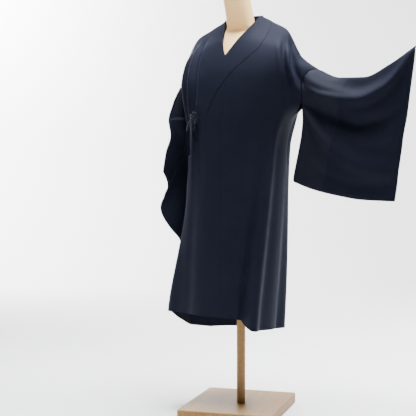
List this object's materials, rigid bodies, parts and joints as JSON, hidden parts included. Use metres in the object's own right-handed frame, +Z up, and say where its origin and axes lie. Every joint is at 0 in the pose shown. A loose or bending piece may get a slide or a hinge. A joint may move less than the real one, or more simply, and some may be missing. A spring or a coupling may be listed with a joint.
{
  "type": "kimono coat on dress form",
  "caption": "V-necked kimono coat with a lapped front, wide two-panel sleeves, a corded side tie and tassels, worn by a limbless dress form on a wooden board.",
  "frame": {"origin": "on the flat underside of the wooden board, under the axis of the dress form", "axes": "+Z up, front of the coat faces -Y, +X to the wearer's left"},
  "size_m": [0.9313, 0.4712, 1.47],
  "materials": {
    "silk": "dark navy silk with a soft sheen",
    "silk_cord": "glossy near-black braided silk cord",
    "form_skin": "smooth cream cover",
    "light_wood": "light satin wood"
  },
  "bodies": {
    "root": {"body_left": "silk", "body_right": "silk", "overlap_left": "silk", "overlap_right": "silk", "sleeve_left_inner": "silk", "sleeve_left_outer": "silk", "sleeve_right_inner": "silk", "sleeve_right_outer": "silk", "collar": "silk", "tie_knot": "silk_cord", "tassel_long": "silk_cord", "tassel_short": "silk_cord", "form_torso": "form_skin", "stand_pole": "light_wood", "stand_board": "light_wood"}
  },
  "joints": []
}
